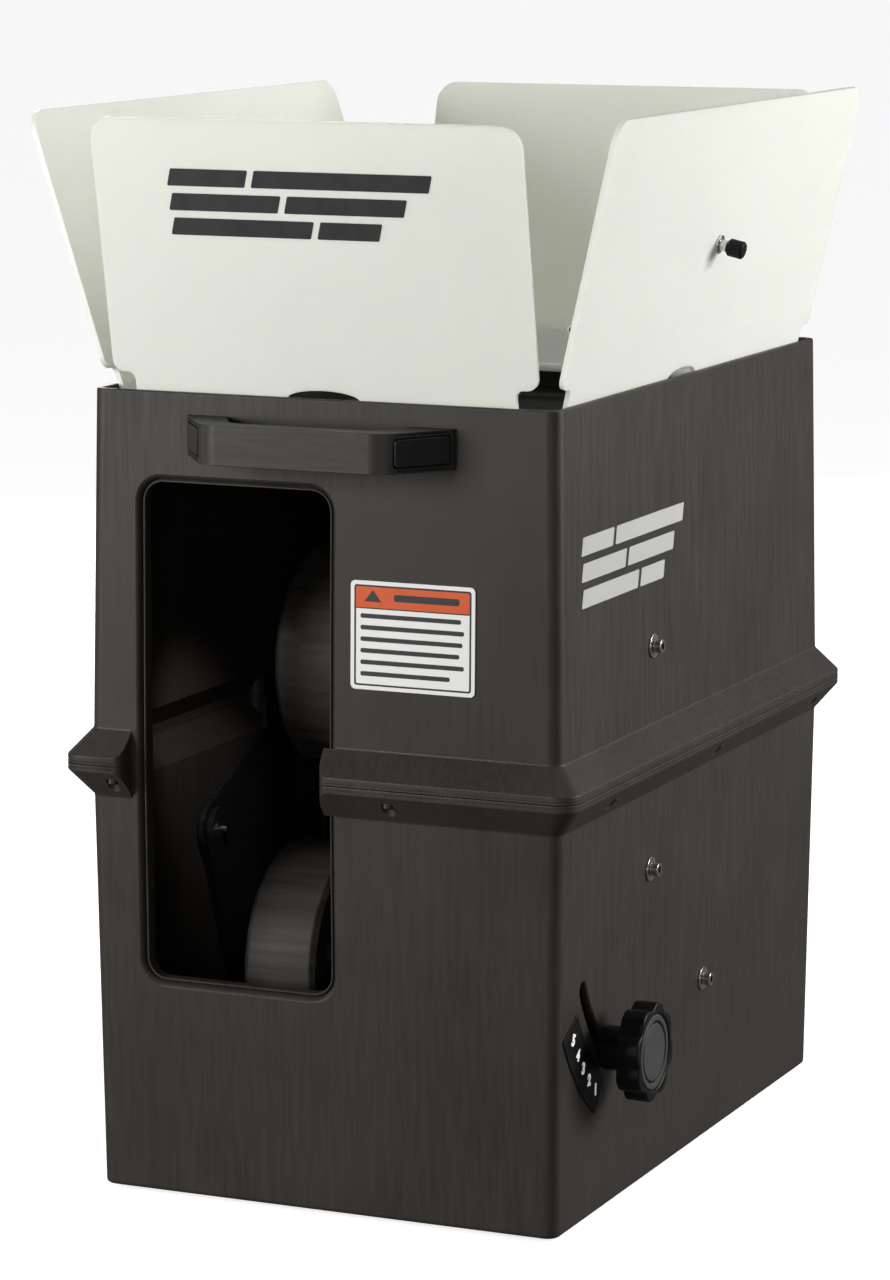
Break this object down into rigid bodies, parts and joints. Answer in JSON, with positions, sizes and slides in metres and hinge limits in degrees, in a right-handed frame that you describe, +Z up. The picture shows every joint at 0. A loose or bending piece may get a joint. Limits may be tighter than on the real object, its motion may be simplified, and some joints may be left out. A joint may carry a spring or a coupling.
{
  "type": "tennis ball machine",
  "caption": "Portable machine with a folding ball hopper that feeds tennis balls between spinning wheels and throws them at a set angle and speed.",
  "frame": {"origin": "on the ground, under the middle of the overall outline with the hopper panels open", "axes": "+Z up; -Y is the front, where the balls leave; +X is the right side seen from the front"},
  "size_m": [0.3864, 0.5316, 0.6651],
  "materials": {
    "housing_plastic": "satin, faint vertical brushing",
    "grip_plastic": "satin",
    "dark_plastic": "semi-gloss",
    "milky_plastic": "translucent, satin",
    "steel": "satin",
    "aluminium": "satin",
    "black_metal": "matte black paint",
    "rubber": "matte",
    "tread_rubber": "matte, finely grooved",
    "circuit_board": "satin",
    "battery_case": "matte",
    "label": "satin"
  },
  "bodies": {
    "housing": {"lower_housing": "housing_plastic", "upper_housing": "housing_plastic", "front_left_foot": "rubber", "front_right_foot": "rubber", "rear_left_foot": "rubber", "rear_right_foot": "rubber", "upper_side_bolt": "steel", "upper_side_washer": "steel", "lower_side_bolt": "steel", "lower_side_washer": "steel", "right_pivot_bolt": "steel", "right_pivot_washer": "steel", "left_pivot_bolt": "steel", "right_chassis_plate": "black_metal", "left_chassis_plate": "black_metal", "front_hinge_rod": "steel", "front_hinge_rail": "dark_plastic", "back_hinge_rod": "steel", "back_hinge_rail": "dark_plastic", "left_hinge_rod": "steel", "left_hinge_rail": "dark_plastic", "right_hinge_rod": "steel", "right_hinge_rail": "dark_plastic", "hopper_funnel": "dark_plastic", "feeder_pan": "dark_plastic", "feed_gearmotor": "aluminium", "ball_chute": "dark_plastic", "carry_handle": "grip_plastic", "handle_cap_left": "dark_plastic", "handle_cap_right": "dark_plastic", "front_label": "label", "scale_plate": "dark_plastic", "battery": "battery_case", "control_panel": "dark_plastic", "power_switch_frame": "dark_plastic", "charge_socket": "steel", "control_board": "circuit_board"},
    "front_panel": {"front_panel": "milky_plastic"},
    "back_panel": {"back_panel": "milky_plastic"},
    "left_panel": {"left_panel": "milky_plastic"},
    "right_panel": {"right_panel": "milky_plastic", "latch_collar": "steel"},
    "latch_knob": {"latch_knob": "dark_plastic"},
    "throwing_head": {"head_main_plate": "black_metal", "head_right_plate": "black_metal", "head_left_arm": "black_metal", "upper_tie_rod": "steel", "lower_tie_rod": "steel", "upper_wheel_motor": "black_metal", "lower_wheel_motor": "black_metal", "elevation_stud": "steel"},
    "elevation_knob": {"elevation_knob": "dark_plastic"},
    "upper_wheel": {"upper_wheel_tyre": "tread_rubber", "upper_wheel_hub": "aluminium"},
    "lower_wheel": {"lower_wheel_tyre": "tread_rubber", "lower_wheel_hub": "aluminium"},
    "feed_rotor": {"feed_rotor": "dark_plastic"},
    "speed_dial": {"speed_dial": "dark_plastic"},
    "feed_dial": {"feed_dial": "dark_plastic"},
    "power_rocker": {"power_rocker": "grip_plastic"}
  },
  "joints": [
    {"name": "front_panel_fold", "type": "hinge", "parent": "housing", "child": "front_panel", "pos_m": [0.0084, -0.21466, 0.4715], "axis": [-1, 0, 0], "range_deg": [0, 100.5]},
    {"name": "back_panel_fold", "type": "hinge", "parent": "housing", "child": "back_panel", "pos_m": [0.0084, 0.21245, 0.4715], "axis": [1, 0, 0], "range_deg": [0, 105]},
    {"name": "left_panel_fold", "type": "hinge", "parent": "housing", "child": "left_panel", "pos_m": [-0.1329, 0, 0.485], "axis": [0, 1, 0], "range_deg": [0, 108]},
    {"name": "right_panel_fold", "type": "hinge", "parent": "housing", "child": "right_panel", "pos_m": [0.15261, 0, 0.492], "axis": [0, -1, 0], "range_deg": [0, 102.7]},
    {"name": "latch_pull", "type": "slide", "parent": "right_panel", "child": "latch_knob", "axis": [0.9755, 0, -0.2198], "range_m": [0, 0.005], "stiffness_N_per_m": 400, "springref_m": -0.002},
    {"name": "elevation_tilt", "type": "hinge", "parent": "housing", "child": "throwing_head", "pos_m": [0.0084, -0.081, 0.2], "axis": [-1, 0, 0], "range_deg": [-15, 27]},
    {"name": "elevation_knob_turn", "type": "hinge", "parent": "throwing_head", "child": "elevation_knob", "pos_m": [0.1784, -0.1528, 0.10472], "axis": [1, 0, 0], "range_deg": [0, 180]},
    {"name": "upper_wheel_spin", "type": "hinge", "parent": "throwing_head", "child": "upper_wheel", "pos_m": [-0.0466, -0.05806, 0.31558], "axis": [-1, 0, 0], "continuous": true},
    {"name": "lower_wheel_spin", "type": "hinge", "parent": "throwing_head", "child": "lower_wheel", "pos_m": [-0.0466, -0.10354, 0.13317], "axis": [1, 0, 0], "continuous": true},
    {"name": "feed_rotor_spin", "type": "hinge", "parent": "housing", "child": "feed_rotor", "pos_m": [0.0084, 0.06, 0.413], "axis": [0, 0, 1], "continuous": true},
    {"name": "speed_dial_turn", "type": "hinge", "parent": "housing", "child": "speed_dial", "pos_m": [-0.0336, 0.23304, 0.35608], "axis": [0, -0.9999, -0.0158], "range_deg": [-135, 135]},
    {"name": "feed_dial_turn", "type": "hinge", "parent": "housing", "child": "feed_dial", "pos_m": [0.0084, 0.23304, 0.35608], "axis": [0, -0.9999, -0.0158], "range_deg": [-135, 135]},
    {"name": "power_rocker_tip", "type": "hinge", "parent": "housing", "child": "power_rocker", "pos_m": [0.0524, 0.22954, 0.35602], "axis": [0, 0.0158, -0.9999], "range_deg": [0, 16]}
  ]
}
